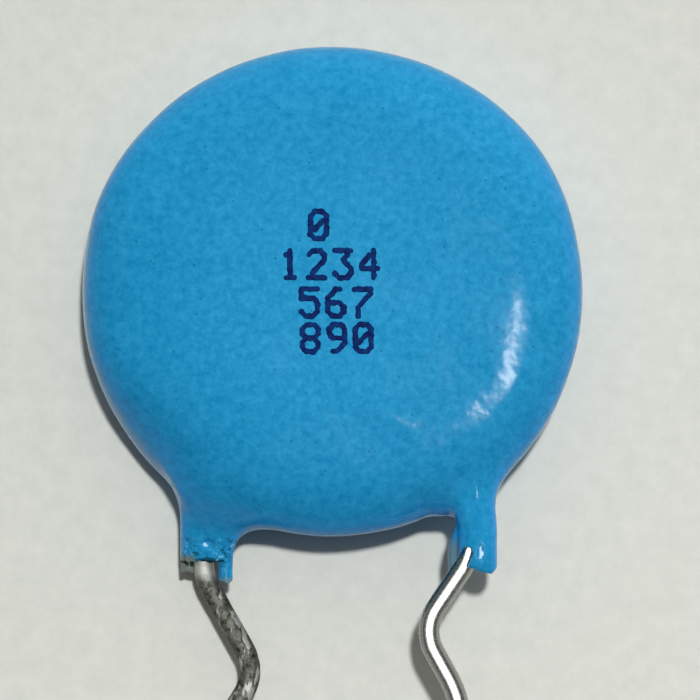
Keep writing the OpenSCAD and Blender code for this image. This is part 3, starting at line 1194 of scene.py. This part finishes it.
# Two tones, clouds per mm, metallic, roughness, and relief in mm
hidden = {
    "ceramic_disc": hidden_finish("fired_ceramic", "#a58863", "#bda27f", 14.0, 0.0, 0.62, 0.006),
    "electrode": hidden_finish("fired_silver", "#c9c7bf", "#e2e0d8", 9.0, 1.0, 0.48, 0.004),
    "solder": hidden_finish("dull_solder", "#8d8f8c", "#b9bab6", 3.5, 1.0, 0.38, 0.015),
    "epoxy_coating": epoxy,
    **wire_finish,
}
for node_name, node in frame["nodes"].items():
    for key, material in hidden.items():
        if key in node_name:
            node.data.materials.clear()
            node.data.materials.append(material)
            print(node_name, "gets", material.name)

# %% [markdown]
# ## Paper
#
# The part lies on plain uncoated paper. Paper is matte and a little mottled, because its
# fibres gather in clouds about half a millimetre across. Its colour is also painted a little
# lighter towards the lower right, as the light falls off towards the upper left. That calls
# for a rough shader between two pale greys that are close together.

# %% Paper
SHEET_HALF = 1500.0
SHEET_GAP = 0.002

low_z = coat_points[:, 2].min() - SHEET_GAP
corners = [(-1, -1), (1, -1), (1, 1), (-1, 1)]
paper = mesh_object(
    "paper", [(x * SHEET_HALF, y * SHEET_HALF, low_z) for x, y in corners], faces=[(0, 1, 2, 3)]
)

pale_paper, tree, where = new_material("pale_paper")
fibres = add_node(
    tree, "ShaderNodeTexNoise", values=clouds(1.8, 5.0, 0.65), links={"Vector": where}
)
# Painted light: the paper is lighter towards the lower right, as light falls off towards the upper
# left
across = add_node(
    tree,
    "ShaderNodeVectorMath",
    operation="DOT_PRODUCT",
    values={1: (0.010, -0.010, 0.0)},
    links={0: where},
)
fibres_and_falloff = add_node(
    tree, "ShaderNodeMath", operation="ADD", links={0: fibres, 1: across.outputs["Value"]}
)
shift = add_node(tree, "ShaderNodeMath", operation="ADD", values={1: 0.12}, links={0: fibres_and_falloff})
tones = add_node(
    tree, "ShaderNodeValToRGB", links={"Fac": shift}, stops=[(0.1, "#c9cdc6"), (0.9, "#dddfd8")]
)
shader = add_node(
    tree,
    "ShaderNodeBsdfPrincipled",
    values={"Roughness": 0.9, "Specular IOR Level": 0.2},
    links={"Base Color": tones},
)
add_node(tree, "ShaderNodeOutputMaterial", links={"Surface": shader})
paper.data.materials.append(pale_paper)
print("paper lies at z =", round(float(low_z), 3), "mm")

# %% [markdown]
# ## Lamps
#
# A small bright lamp above the part's top right-hand corner gives the crisp shadows. Gloss
# mirrors what is bright around a thing, so each kind of highlight has a lamp of its own,
# which no matte surface receives. Two narrow panes off the lower right stand for a window:
# they give the curved streak on the rim and the sparks on the chips. A wide ceiling gives
# the two wires their broad white band. It is linked to the wires alone, because on the coat
# it would lie over the whole face as a haze.

# %% Lamps
KEY_ENERGY, KEY_ANGLE = 2.5, 4.0
CEILING_ENERGY, CEILING_ANGLE = 4.4, 72.0
PANE_DISTANCE = 0.30


def towards(azimuth, tilt):
    """The direction of a lamp: azimuth from +X towards +Y, tilt from straight up, in degrees."""
    a, t = np.radians(azimuth), np.radians(tilt)
    return Vector((np.sin(t) * np.cos(a), np.sin(t) * np.sin(a), np.cos(t)))


def add_lamp(name, kind, **settings):
    """A lamp with its settings, linked to the scene."""
    data = bpy.data.lights.new(name, kind)
    for setting, value in settings.items():
        setattr(data, setting, value)
    return add_object(name, data)


def add_pane(name, azimuth, tilt, wide, high, turn, brightness):
    """A bright pane, wide and high in degrees as seen from the part, turned about its middle."""
    size, size_y = (2 * PANE_DISTANCE * np.tan(np.radians(v) / 2) for v in (wide, high))
    power = brightness * np.pi * size * size_y
    lamp = add_lamp(name, "AREA", shape="RECTANGLE", size=size, size_y=size_y, energy=power)
    way = towards(azimuth, tilt)
    lamp.location = Vector(to_frame((0, 0, 0))) + way * PANE_DISTANCE
    spin = Matrix.Rotation(np.radians(turn), 3, way)
    lamp.rotation_euler = (spin @ way.to_track_quat("Z", "Y").to_matrix()).to_euler()
    lamp.visible_diffuse = False
    print(name, "power:", round(lamp.data.energy, 4), "W")


key = add_lamp("key", "SUN", energy=KEY_ENERGY, angle=np.radians(KEY_ANGLE))
key.rotation_euler = towards(70, 15.5).to_track_quat("Z", "Y").to_euler()
key.visible_glossy = False

add_pane("window", azimuth=-3.0, tilt=12.5, wide=8.0, high=3.5, turn=75.0, brightness=1.2)
add_pane("window_low", azimuth=-23.5, tilt=12.2, wide=12.0, high=3.0, turn=75.0, brightness=64.0)

lit_by_ceiling = bpy.data.collections.new("lit_by_ceiling")
for piece in bpy.data.objects:
    if piece.type == "MESH" and any(node_name in piece.name for node_name in LEADS):
        lit_by_ceiling.objects.link(piece)
ceiling = add_lamp("ceiling", "SUN", energy=CEILING_ENERGY, angle=np.radians(CEILING_ANGLE))
ceiling.visible_diffuse = False
ceiling.light_linking.receiver_collection = lit_by_ceiling

# %% [markdown]
# ## The room
#
# The rest of the light is a dim warm room, brightest high up beyond the disc. With the key
# lamp it lights a level sheet by about as much as makes a colour render as it is written.
# The camera, gloss and clear things see a room as pale as the paper instead. For gloss it
# is dimmer above the horizon, or else the whole coat would look dusty.

# %% Room
world = bpy.data.worlds.new("room")
bpy.context.scene.world = world
world.use_nodes = True
tree = world.node_tree
tree.nodes.clear()
outward = add_node(tree, "ShaderNodeTexCoord").outputs["Generated"]
path_kind = add_node(tree, "ShaderNodeLightPath").outputs
facing = add_node(
    tree,
    "ShaderNodeVectorMath",
    operation="DOT_PRODUCT",
    values={1: (0.20, 0.82, 0.54)},
    links={0: outward},
)
glow = add_node(
    tree,
    "ShaderNodeMapRange",
    interpolation_type="SMOOTHSTEP",
    values=span(0.0, 1.1, 0.0, 0.68),
    links={"Value": facing.outputs["Value"]},
)
dim = add_node(
    tree, "ShaderNodeBackground", values={"Color": linear("#fffaf2")}, links={"Strength": glow}
)
upward = add_node(tree, "ShaderNodeSeparateXYZ", links={"Vector": outward}).outputs["Z"]
above = add_node(
    tree, "ShaderNodeMapRange", values=span(0.02, 0.30, 1.0, 0.20), links={"Value": upward}
)
strength = add_node(
    tree,
    "ShaderNodeMix",
    data_type="FLOAT",
    values={FLOAT_A: 1.0},
    links={FACTOR: path_kind["Is Glossy Ray"], FLOAT_B: above},
)
pale = add_node(
    tree, "ShaderNodeBackground", values={"Color": linear("#d7dad4")}, links={"Strength": strength}
)
seen = path_kind["Is Camera Ray"]
for kind in ("Is Glossy Ray", "Is Transmission Ray"):
    seen = add_node(
        tree, "ShaderNodeMath", operation="MAXIMUM", links={0: seen, 1: path_kind[kind]}
    )
shown = add_node(tree, "ShaderNodeMixShader", links={0: seen, 1: dim, 2: pale})
add_node(tree, "ShaderNodeOutputWorld", links={"Surface": shown})
bpy.context.scene.view_settings.view_transform = "Standard"
print("room nodes:", len(tree.nodes))
